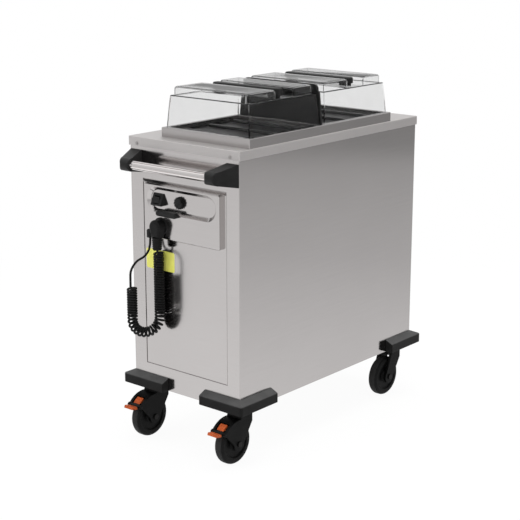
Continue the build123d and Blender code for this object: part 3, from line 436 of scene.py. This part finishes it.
tyrePlan = {
    "first": (0.004, 0.008),  # wall
    "second": (0.016, 0.028),  # tread, painted paler as painted light where it catches the light
    "stops": (0.3, 0.75),
    "treadTurn": 0.5,  # a face that looks less sideways than this is tread
    "grain": 900,
    "cloud": 35,
    "cloudDetail": 4,
    "roughness": (0.50, 0.68),
    "shine": 0.12,
    "relief": (0.25, 0.0002),
}
bumperPlan = {
    "first": (0.004, 0.008),  # sides
    "second": (0.066, 0.086),  # top, painted paler as painted light falling from above
    "stops": (0.3, 0.7),
    "grain": 1400,
    "cloud": 22,
    "cloudDetail": 3,
    "roughness": (0.34, 0.46),
    "shine": 0.12,
    "relief": (0.2, 0.0002),
}
pedalPlan = {
    "first": (0.003, 0.006),  # lever
    "second": ((0.37, 0.070, 0.017), (0.45, 0.085, 0.020)),  # darker between the tip and the tab
    "stops": (0.3, 0.7),
    "tip": 0.020,
    "tabFoot": 0.1125,
    "grain": 1400,
    "cloud": 22,
    "cloudDetail": 3,
    "roughness": (0.36, 0.50),
    "shine": 0.18,
    "relief": (0.22, 0.0002),
}
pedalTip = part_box("brake_pedal_left")[0].y + pedalPlan["tip"]


def twoTone(name, plan, secondShare):  # secondShare is a function that says where the second tone shows
    def varying(wire):
        grain = noise(wire, plan["grain"], detail=2)
        cloud = noise(wire, plan["cloud"], detail=plan["cloudDetail"])
        first = toned(wire, cloud, plan["first"], plan["stops"])
        second = toned(wire, cloud, plan["second"], plan["stops"])
        return {
            "Base Color": mixed(wire, secondShare(wire), first, second),
            "Roughness": between(plan["roughness"], cloud),
            "Normal": bumped(wire, grain, plan["relief"]),
        }

    return newFinish(name, {"Specular IOR Level": plan["shine"]}, varying)


# painted light: the tread faces get the paler tone, where light catches them
def paintedLitTread(wire):
    sideways = wire.maths("ABSOLUTE", onAxis(wire, "normal", "x"), 0)
    return wire.maths("LESS_THAN", sideways, tyrePlan["treadTurn"])


# painted light: faces that look up get the bumper's paler tone, as if lit from above
def paintedTopLight(wire):
    return wire.maths("MAXIMUM", onAxis(wire, "normal", "z"), 0)


def onTipOrTab(wire):
    onTip = wire.maths("LESS_THAN", onAxis(wire, "object", "y"), pedalTip)
    onTab = wire.maths("GREATER_THAN", onAxis(wire, "object", "z"), pedalPlan["tabFoot"])
    return wire.maths("MAXIMUM", onTip, onTab)


paperPlan = {
    "yellows": ((0.76, 0.75, 0.13), (0.84, 0.82, 0.18)),
    "fibre": 500,
    "patch": 30,
    "roughness": (0.34, 0.46),
    "relief": (0.05, 0.0002),
}


def labelPaper(name, plan):
    def varying(wire):
        fibre = noise(wire, plan["fibre"], detail=3)
        patch = noise(wire, plan["patch"], detail=2)
        return {
            "Base Color": toned(wire, patch, plan["yellows"]),
            "Roughness": between(plan["roughness"], fibre),
            "Normal": bumped(wire, fibre, plan["relief"]),
        }

    return newFinish(name, {}, varying)


darkPlan = {**steelPlan, "roughness": (0.35, 0.5)}
frontSteel = satinSteel("frontSteel", "x", {**steelPlan, "roughness": (0.12, 0.18)})
sideSteel = satinSteel("sideSteel", "y", steelPlan)
deckSteel = satinSteel("deckSteel", "y", {**steelPlan, "roughness": (0.34, 0.46), "metal": 0.8})
# the rim's steel is painted darker than the rest: painted shade on the rim
rimSteel = satinSteel("rimSteel", "y", {**steelPlan, "value": 0.43, "roughness": (0.20, 0.28)})
# well liner steel painted near black: painted shade inside the wells
linerSteel = satinSteel("linerSteel", "z", {**darkPlan, "value": 0.035, "swing": 0.006})
tubeSteel = satinSteel("tubeSteel", "x", {**steelPlan, "value": 0.76, "roughness": (0.10, 0.18)})
zincSteel = satinSteel("zincSteel", "x", {**steelPlan, "value": 0.45, "roughness": (0.28, 0.42)})
axleSteel = satinSteel("axleSteel", "x", {**darkPlan, "value": 0.02, "swing": 0.004})
blackPlastic = mouldedPlastic("blackPlastic", plasticPlan)
castorPlastic = mouldedPlastic("castorPlastic", {**plasticPlan, "greys": (0.003, 0.006), "shine": 0.08})
bumperBlack = twoTone("bumperBlack", bumperPlan, paintedTopLight)
cordRubber = mouldedPlastic("cordRubber", {**plasticPlan, "greys": (0.004, 0.008), "shine": 0.15})
orangePlastic = twoTone("orangePlastic", pedalPlan, onTipOrTab)
tyreBlack = twoTone("tyreBlack", tyrePlan, paintedLitTread)
clearPlastic = clearSheet("clearPlastic", clearPlan["sheet"])
clearPaintedEdgeShade = clearSheet("clearPaintedEdgeShade", clearPlan["edge"])
platformFinish = platformSteel("platformFinish", platformPlan)
yellowPaper = labelPaper("yellowPaper", paperPlan)
print("finishes made")

# curly cord: a tail out of its outlet, then curls down, round and up to the plug
cordPlan = {
    "diameter": 0.0066,
    "length": 3.99,
    "exit": (-0.111, -0.4105, 0.622),
    "tail": [
        (-0.111, -0.4105, 0.589),
        (-0.113, -0.4345, 0.567),
        (-0.115, -0.4625, 0.563),
        (-0.114, -0.4895, 0.540),
        (-0.1129, -0.4912, 0.5141),
        (-0.1129, -0.4912, 0.4961),
        (-0.1129, -0.4912, 0.4851),
    ],
    "plugLead": [(-0.078, -0.417, 0.580), (-0.078, -0.417, 0.591)],
    "loopTop": (-0.08545, -0.40465, 0.580),
    "loopOutward": (-0.4259, -0.9048, 0),
    "loop": [  # out from the plug's leg, and up
        (0, 0),
        (0, -0.087),
        (0, -0.1728),
        (0, -0.2068),
        (0.0240, -0.2308),
        (0.0580, -0.2308),
        (0.082, -0.2068),
        (0.082, -0.1728),
        (0.082, -0.134),
        (0.082, -0.0949),
    ],
    "loopSteps": 60,
    "innerLeg": 0.1898,
    "bendLength": 0.1288,
    "curlRadius": 0.012,
    "legPitch": 0.0073,
    "bendPitch": 0.0104,
    "pitchBlend": 0.024,
    "turns": 50,
    "pointsPerTurn": 16,
    "steps": 3,
    "roundSteps": 3,
}


def nurbsCurve(name, points, steps):
    data = bpy.data.curves.new(name, "CURVE")
    data.dimensions = "3D"
    spline = data.splines.new("NURBS")
    spline.points.add(len(points) - 1)
    for point, place in zip(spline.points, points):
        point.co = (*place, 1)
    spline.order_u = 3
    spline.use_endpoint_u = True
    piece = bpy.data.objects.new(name, data)
    scene.collection.objects.link(piece)
    data.resolution_u = steps
    return piece


def pitchAt(along, plan):  # curls open out round the bend
    into = (along - plan["innerLeg"]) / plan["pitchBlend"] + 1
    outOf = (plan["innerLeg"] + plan["bendLength"] - along) / plan["pitchBlend"] + 1
    share = max(0.0, min(1.0, into, outOf))
    return between((plan["legPitch"], plan["bendPitch"]), share * share * (3 - 2 * share))


def curlPoints(plan):  # a helix round the line read from the loop's own spline
    up = Vector((0, 0, 1))
    outward = Vector(plan["loopOutward"]).normalized()
    across = up.cross(outward)
    top = Vector(plan["loopTop"])
    guidePoints = [top + outward * out + up * rise for out, rise in plan["loop"]]
    guide = nurbsCurve("loopGuide", guidePoints, plan["loopSteps"])
    line = [vertex.co.copy() for vertex in bpy.data.meshes.new_from_object(guide).vertices]
    bpy.data.objects.remove(guide)
    along = 0.0
    turned = [0.0]
    for before, after in zip(line, line[1:]):
        run = (after - before).length
        turned.append(turned[-1] + run / pitchAt(along + run / 2, plan))
        along += run
    perTurn = plan["pointsPerTurn"]
    inward = 0.75 + 0.25 * math.cos(2 * math.pi / perTurn)  # a spline of order 3 runs inside its points
    reach = plan["curlRadius"] / inward
    points = []
    index = 0
    for step in range(plan["turns"] * perTurn + 1):
        wanted = turned[-1] * step / (plan["turns"] * perTurn)
        while index < len(line) - 2 and turned[index + 1] < wanted:
            index += 1
        share = (wanted - turned[index]) / (turned[index + 1] - turned[index])
        centre = line[index].lerp(line[index + 1], min(share, 1.0))
        inside = (line[index + 1] - line[index]).normalized().cross(across)
        angle = math.pi / 2 + 2 * math.pi * step / perTurn
        points.append(centre + inside * (reach * math.cos(angle)) + across * (reach * math.sin(angle)))
    return points


cordPoints = [cordPlan["exit"], *cordPlan["tail"], *reversed(curlPoints(cordPlan)), *cordPlan["plugLead"]]
curlyCord = nurbsCurve("curlyCord", cordPoints, cordPlan["steps"])
curlyCord.data.bevel_depth = cordPlan["diameter"] / 2
curlyCord.data.bevel_resolution = cordPlan["roundSteps"]
curlyCord.data.use_fill_caps = True
coated(curlyCord, cordRubber)
dressed(curlyCord, "cabinet", "cord_rubber", "curly_cord", "cord_tail")
print("cord made:", len(cordPoints), "points")

# mains plug, with a ribbed strain relief below it
plugPlan = {
    "edge": 0.0008,
    "centre": (-0.078, -0.417),
    "top": 0.6245,
    "step": 0.0058,
    "ribs": 6,
    "radii": (0.0132, 0.0119),
    "rib": 0.0019,
    "ribStretch": 1.25,
    "ribSteps": (40, 10),
}
ringSteps, ribSteps = plugPlan["ribSteps"]
clearSelection()
bpy.ops.mesh.primitive_torus_add(
    major_radius=1,
    minor_radius=plugPlan["rib"] / plugPlan["radii"][0],
    major_segments=ringSteps,
    minor_segments=ribSteps,
)
firstRib = bpy.context.object
editAll(firstRib)
bpy.ops.transform.resize(value=(1, 1, plugPlan["ribStretch"]))
plugRibs = [firstRib]
while len(plugRibs) < plugPlan["ribs"]:
    plugRibs.append(doubled(firstRib))
for index, rib in enumerate(plugRibs):
    rib.location = (*plugPlan["centre"], plugPlan["top"] - index * plugPlan["step"])
    rib.scale = [between(plugPlan["radii"], index / (plugPlan["ribs"] - 1))] * 3
    coated(rib, cordRubber)
    settle(rib)
    smooth(rib)
mainsPlug = easedCopy("mains_plug", cordRubber, plugPlan["edge"])
joined([mainsPlug, *plugRibs], "mainsPlug")
print("plug made")

# cabinet and other CAD pieces, with their edges eased
easedPlan = {
    "front_frame": (frontSteel, 0.0005),
    "service_panel": (frontSteel, 0.0005),
    "rear_panel": (frontSteel, 0.0005),
    "side_panel_left": (sideSteel, 0.0006),
    "side_panel_right": (sideSteel, 0.0006),
    "top_deck": (deckSteel, 0.0005),
    "rim_frame": (rimSteel, 0.0005),
    "handle_bracket_left": (blackPlastic, 0.0022),
    "handle_bracket_right": (blackPlastic, 0.0022),
    "switch_housing": (blackPlastic, 0.0010),
    "switch_rocker": (blackPlastic, 0.0006),
    "parking_socket": (blackPlastic, 0.0006),
    "socket_hood": (blackPlastic, 0.0008),
    "cord_outlet": (blackPlastic, 0.0008),
    "lid_divider": (blackPlastic, 0.0012),
    "lid_handle_front": (blackPlastic, 0.0010),
    "lid_handle_rear": (blackPlastic, 0.0010),
    "platform_front": (platformFinish, 0.0008),
    "platform_rear": (platformFinish, 0.0008),
    "brake_pedal_left": (orangePlastic, 0.0012),
    "brake_pedal_right": (orangePlastic, 0.0012),
    "castor_plates": (zincSteel, 0.0006),
}
for corner in corners:
    easedPlan["bumper_" + corner] = (bumperBlack, 0.0030)
    easedPlan["castor_fork_" + corner] = (castorPlastic, 0.0015)
    easedPlan["castor_axle_" + corner] = (axleSteel, 0.0008)
    easedPlan["wheel_core_" + corner] = (castorPlastic, 0.0008)
    easedPlan["tyre_" + corner] = (tyreBlack, 0.0008)
for node, (finish, width) in easedPlan.items():
    easedCopy(node, finish, width)
print("edges eased on", len(easedPlan), "pieces")

# control plate: the dish's edges run softly into the plate
platePlan = {
    "margin": 0.008,
    "lowest": 0.690,
    "highest": 0.772,
    "near": 0.0003,
    "soft": 0.004,
    "softSteps": 4,
}
plateLow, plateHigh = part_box("control_plate")


def onDish(place):  # on the outline of the dish, at the plate's face
    across = plateLow.x + platePlan["margin"] < place.x < plateHigh.x - platePlan["margin"]
    atFace = abs(place.y - plateLow.y) < platePlan["near"]
    return across and atFace and platePlan["lowest"] < place.z < platePlan["highest"]


controlPlate = mergedCopy("control_plate")
pickEdges(controlPlate, onDish)
bpy.ops.mesh.bevel(
    offset=platePlan["soft"], segments=platePlan["softSteps"], affect="EDGES", clamp_overlap=True
)
settle(controlPlate)
smooth(controlPlate)
flatter(controlPlate)
coated(controlPlate, frontSteel)
standIn(controlPlate, "control_plate")
print("control plate softened")

# clear lids: painted dark lines where the sheet turns, at the shoulder, the corners and the top edges, as
# painted shade for the darkness clear plastic shows there
lidPlan = {
    "step": 0.025,
    "ledge": 0.0135,
    "near": 0.0003,
    "line": 0.0024,
    "lineSteps": 2,
    "turn": 0.6,
    "upright": 0.35,
    "smooth": 4,
}


def onShoulder(place, low, high):  # on the outline of the lid's shoulder
    middle = (low + high) / 2
    level = abs(place.z - (high.z - lidPlan["step"])) < lidPlan["near"]
    sideways = high.x - middle.x - abs(place.x - middle.x) < lidPlan["ledge"]
    lengthways = high.y - middle.y - abs(place.y - middle.y) < lidPlan["ledge"]
    return level and (sideways or lengthways)


def atTurn(face):  # in the middle of a rounded corner or of a rounded top edge
    across, along, up = face.normal
    if abs(up) < lidPlan["upright"]:
        return min(abs(across), abs(along)) > lidPlan["turn"]
    return up > lidPlan["turn"] and math.hypot(across, along) > lidPlan["turn"]


for node in ("lid_front", "lid_rear"):
    lid = mergedCopy(node)
    low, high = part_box(node)
    coated(lid, clearPlastic, clearPaintedEdgeShade)
    pickEdges(lid, lambda place: onShoulder(place, low, high))
    bpy.ops.mesh.bevel(offset=lidPlan["line"], segments=lidPlan["lineSteps"], affect="EDGES", material=1)
    pick(lid, "FACE", atTurn)
    lid.active_material_index = 1
    bpy.ops.object.material_slot_assign()
    settle(lid)
    smooth(lid, lidPlan["smooth"])
    standIn(lid, node)
print("lids made")

# pieces whose CAD shape stays
keptPlan = {
    "base_pan": sideSteel,
    "thermostat": blackPlastic,
    "terminal_block": blackPlastic,
    "heating_elements": zincSteel,
    "guide_rods": tubeSteel,
    "lift_spring_front": zincSteel,
    "lift_spring_rear": zincSteel,
    "well_liner_front": linerSteel,
    "well_liner_rear": linerSteel,
}
for node, finish in keptPlan.items():
    coated(nodes[node], finish)
print("finishes on", len(keptPlan), "kept pieces")

# push handle: a bright tube with lengthwise grooves
tubePlan = {"sides": 36, "grooveEvery": 3, "grooveEdge": 0.0002, "grooveDepth": 0.0034, "smooth": 20}
tubeLow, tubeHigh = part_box("handle_tube")
tubeSize = tubeHigh - tubeLow
tubeMiddle = (tubeLow + tubeHigh) / 2
gripTube = cylinder(tubePlan["sides"], tubeSize.z / 2, tubeSize.x, tubeMiddle, (0, math.pi / 2, 0))
gripTube.name = "gripTube"
cutGrooves(gripTube, 0, tubePlan)
smooth(gripTube, tubePlan["smooth"])
coated(gripTube, tubeSteel)
dressed(gripTube, "cabinet", "bright_steel", "handle_tube")
print("grip tube made")

# temperature knob: a fluted body on a skirt, with a finger bar across its face
knobPlan = {
    "centre": (-0.011, 0.731),
    "body": {"radius": 0.0155, "y": (-0.3995, -0.3935), "round": 0.0016},
    "skirt": {"radius": 0.0175, "y": (-0.3935, -0.3915), "round": 0.0008},
    "shaft": {"radius": 0.003, "y": (-0.3915, -0.3745), "round": 0.0004},
    "sides": 48,
    "grooveEvery": 4,
    "grooveEdge": 0.0002,
    "grooveDepth": 0.0010,
    "bar": {"size": (0.027, 0.0025, 0.007), "y": -0.40075, "angle": 30, "round": 0.0009},
}
knobX, knobZ = knobPlan["centre"]
knobParts = []
for partName in ("body", "skirt", "shaft"):
    part = knobPlan[partName]
    front, back = part["y"]
    middle = (knobX, (front + back) / 2, knobZ)
    piece = cylinder(knobPlan["sides"], part["radius"], back - front, middle, (math.pi / 2, 0, 0))
    if partName == "body":
        cutGrooves(piece, 1, knobPlan)
    roundFront(piece, part["round"])
    knobParts.append(piece)
bar = knobPlan["bar"]
fingerBar = block(bar["size"], (knobX, bar["y"], knobZ), (0, -math.radians(bar["angle"]), 0))
editAll(fingerBar)
bpy.ops.mesh.bevel(offset=bar["round"], segments=meshPlan["edgeSteps"], affect="EDGES")
temperatureKnob = joined([*knobParts, fingerBar], "temperatureKnob")
smooth(temperatureKnob)
coated(temperatureKnob, blackPlastic)
dressed(temperatureKnob, "knob", "black_plastic", "temperature_knob")
print("knob made")

# deck screws: round heads with a cross recess
screwPlan = {
    "sides": 28,
    "radius": 0.0045,
    "height": 0.0024,
    "round": 0.0011,
    "slot": (0.0052, 0.0022, 0.0012),
    "x": 0.175,
    "z": 0.882,
    "faces": {-0.392: 0, 0.452: math.pi},  # the deck's end faces, and the turn about the upright axis
}
screwTop = -screwPlan["height"]
screwHead = cylinder(
    screwPlan["sides"], screwPlan["radius"], screwPlan["height"], (0, screwTop / 2, 0), (math.pi / 2, 0, 0)
)
roundFront(screwHead, screwPlan["round"])
for turn in (0, math.pi / 2):
    slotCutter = block(screwPlan["slot"], (0, screwTop, 0), (0, turn, 0))
    cut = screwHead.modifiers.new("slot", "BOOLEAN")
    cut.object = slotCutter
    settle(screwHead)
    bpy.data.objects.remove(slotCutter)
deckScrews = []
for faceY, turn in screwPlan["faces"].items():
    for acrossX in (-screwPlan["x"], screwPlan["x"]):
        screw = doubled(screwHead)
        screw.rotation_euler = (0, 0, turn)
        screw.location = (acrossX, faceY, screwPlan["z"])
        settle(screw)
        deckScrews.append(screw)
bpy.data.objects.remove(screwHead)
screwSet = joined(deckScrews, "deckScrews")
smooth(screwSet)
coated(screwSet, zincSteel)
dressed(screwSet, "cabinet", "stainless", "deck_screws")
print("screws made")

# plain yellow sticker on the service panel
labelPlan = {
    "x": (-0.151, -0.041),
    "z": (0.523, 0.581),
    "setBack": 0.0015,
    "thick": 0.0003,
    "corner": 0.005,
    "cornerSteps": 4,
}
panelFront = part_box("front_frame")[0].y + labelPlan["setBack"]
labelMiddle = (sum(labelPlan["x"]) / 2, panelFront, sum(labelPlan["z"]) / 2)
clearSelection()
bpy.ops.mesh.primitive_plane_add(size=1, location=labelMiddle, rotation=(math.pi / 2, 0, 0))
yellowLabel = bpy.context.object
yellowLabel.name = "yellowLabel"
yellowLabel.scale = (labelPlan["x"][1] - labelPlan["x"][0], labelPlan["z"][1] - labelPlan["z"][0], 1)
settle(yellowLabel)
editAll(yellowLabel)
bpy.ops.mesh.bevel(offset=labelPlan["corner"], segments=labelPlan["cornerSteps"], affect="VERTICES")
thicken = yellowLabel.modifiers.new("sheet", "SOLIDIFY")
thicken.thickness = labelPlan["thick"]
thicken.offset = 1
settle(yellowLabel)
coated(yellowLabel, yellowPaper)
dressed(yellowLabel, "cabinet", "stainless")
print("label made")

# floor, light and background
floorPlan = {
    "size": 60.0,
    "value": 0.86,
    "roughness": 0.8,
    "ahead": (0.64, 0.77, 0),  # the way along which the floor is painted darker in reflections, as painted shade
    "span": 8.0,
    "tones": [(0.12, 0.86), (0.46, 1.0), (0.54, 0.86), (0.64, 0.66), (0.785, 0.53), (0.82, 0.34)],
    "glow": 0.95,
    "fade": (0.9, 2.2),  # where the floor turns from catching shadow to plain white
}
clearSelection()
bpy.ops.mesh.primitive_plane_add(size=floorPlan["size"], location=(0, 0, 0))
studioFloor = bpy.context.object
studioFloor.name = "studioFloor"
floorFinish = bpy.data.materials.new("floorFinish")
floorFinish.use_nodes = True
floorTree = floorFinish.node_tree
floorTree.nodes.clear()
floorWire = Wire(floorTree)
groundLook = {
    "Base Color": (*tone(floorPlan["value"]), 1),
    "Roughness": floorPlan["roughness"],
    "Specular IOR Level": 0.0,
}
ground = floorWire.node("ShaderNodeBsdfPrincipled", {}, groundLook)


def rayKinds(wire):  # rays from the camera or through clear sheets, and rays off shiny metal
    ray = {kind: wire.node("ShaderNodeLightPath", {}, {}, out=out) for kind, out in rayOut.items()}
    return wire.maths("MAXIMUM", ray["camera"], ray["clear"]), ray["glossy"]


straight, glossy = rayKinds(floorWire)
floorSpot = coordinate(floorWire, "object")
along = floorWire.node(
    "ShaderNodeVectorMath", {"operation": "DOT_PRODUCT"}, {0: floorSpot, 1: floorPlan["ahead"]}, out=1
)
share = 0.5 + along * (0.5 / floorPlan["span"])
# painted shade: the floor's tone in reflections falls off along ahead, standing in for lamp light falling
# off across the floor
paintedFloorFalloff = ramped(floorWire, share, [(place, tone(value)) for place, value in floorPlan["tones"]])
glowColour = mixed(floorWire, straight, paintedFloorFalloff, (1, 1, 1, 1))
glow = floorWire.node("ShaderNodeEmission", {}, {"Color": glowColour, "Strength": 1.0})
fadeStart, fadeEnd = floorPlan["fade"]
away = floorWire.node("ShaderNodeVectorMath", {"operation": "LENGTH"}, {0: floorSpot}, out=1)
fade = floorWire.node(
    "ShaderNodeMapRange", {}, {0: away, 1: fadeStart, 2: fadeEnd, 3: floorPlan["glow"], 4: 1.0}
)
glowShare = fade * floorWire.maths("MAXIMUM", straight, glossy)
floorLook = floorWire.node("ShaderNodeMixShader", {}, {0: glowShare, 1: ground, 2: glow})
floorOutput = floorTree.nodes.new("ShaderNodeOutputMaterial")
floorTree.links.new(floorLook.socket, floorOutput.inputs["Surface"])
studioFloor.data.materials.append(floorFinish)

lampPlan = {
    "key": {"place": (-2.6, -3.6, 3.4), "size": 2.6, "power": 80},
    "fill": {"place": (3.6, -1.6, 2.4), "size": 2.6, "power": 25},
    "top": {"place": (0.2, 0.2, 4.2), "size": 3.0, "power": 190},
}
lampAim = Vector((0, 0, 0.55))
for name, lamp in lampPlan.items():
    clearSelection()
    bpy.ops.object.light_add(type="AREA", location=lamp["place"])
    light = bpy.context.object
    light.name = name + "Light"
    light.data.size = lamp["size"]
    light.data.energy = lamp["power"]
    light.visible_glossy = False
    light.rotation_euler = (lampAim - light.location).to_track_quat("-Z", "Y").to_euler()

worldPlan = {"light": 0.55, "background": 1.0, "tones": [(0.0, 0.52), (0.25, 0.70), (0.8, 1.0)]}
studioWorld = bpy.data.worlds.new("studioWorld")
scene.world = studioWorld
studioWorld.use_nodes = True
worldTree = studioWorld.node_tree
worldTree.nodes.clear()
worldWire = Wire(worldTree)
straight, glossy = rayKinds(worldWire)
height = onAxis(worldWire, "generated", "z")
skyTone = ramped(worldWire, height, [(place, tone(value)) for place, value in worldPlan["tones"]])
plainTone = mixed(worldWire, straight, (*tone(worldPlan["light"]), 1), (*tone(worldPlan["background"]), 1))
sky = worldWire.node("ShaderNodeBackground", {}, {"Color": mixed(worldWire, glossy, plainTone, skyTone)})
worldOutput = worldTree.nodes.new("ShaderNodeOutputWorld")
worldTree.links.new(sky.socket, worldOutput.inputs["Surface"])
print("light and floor set")
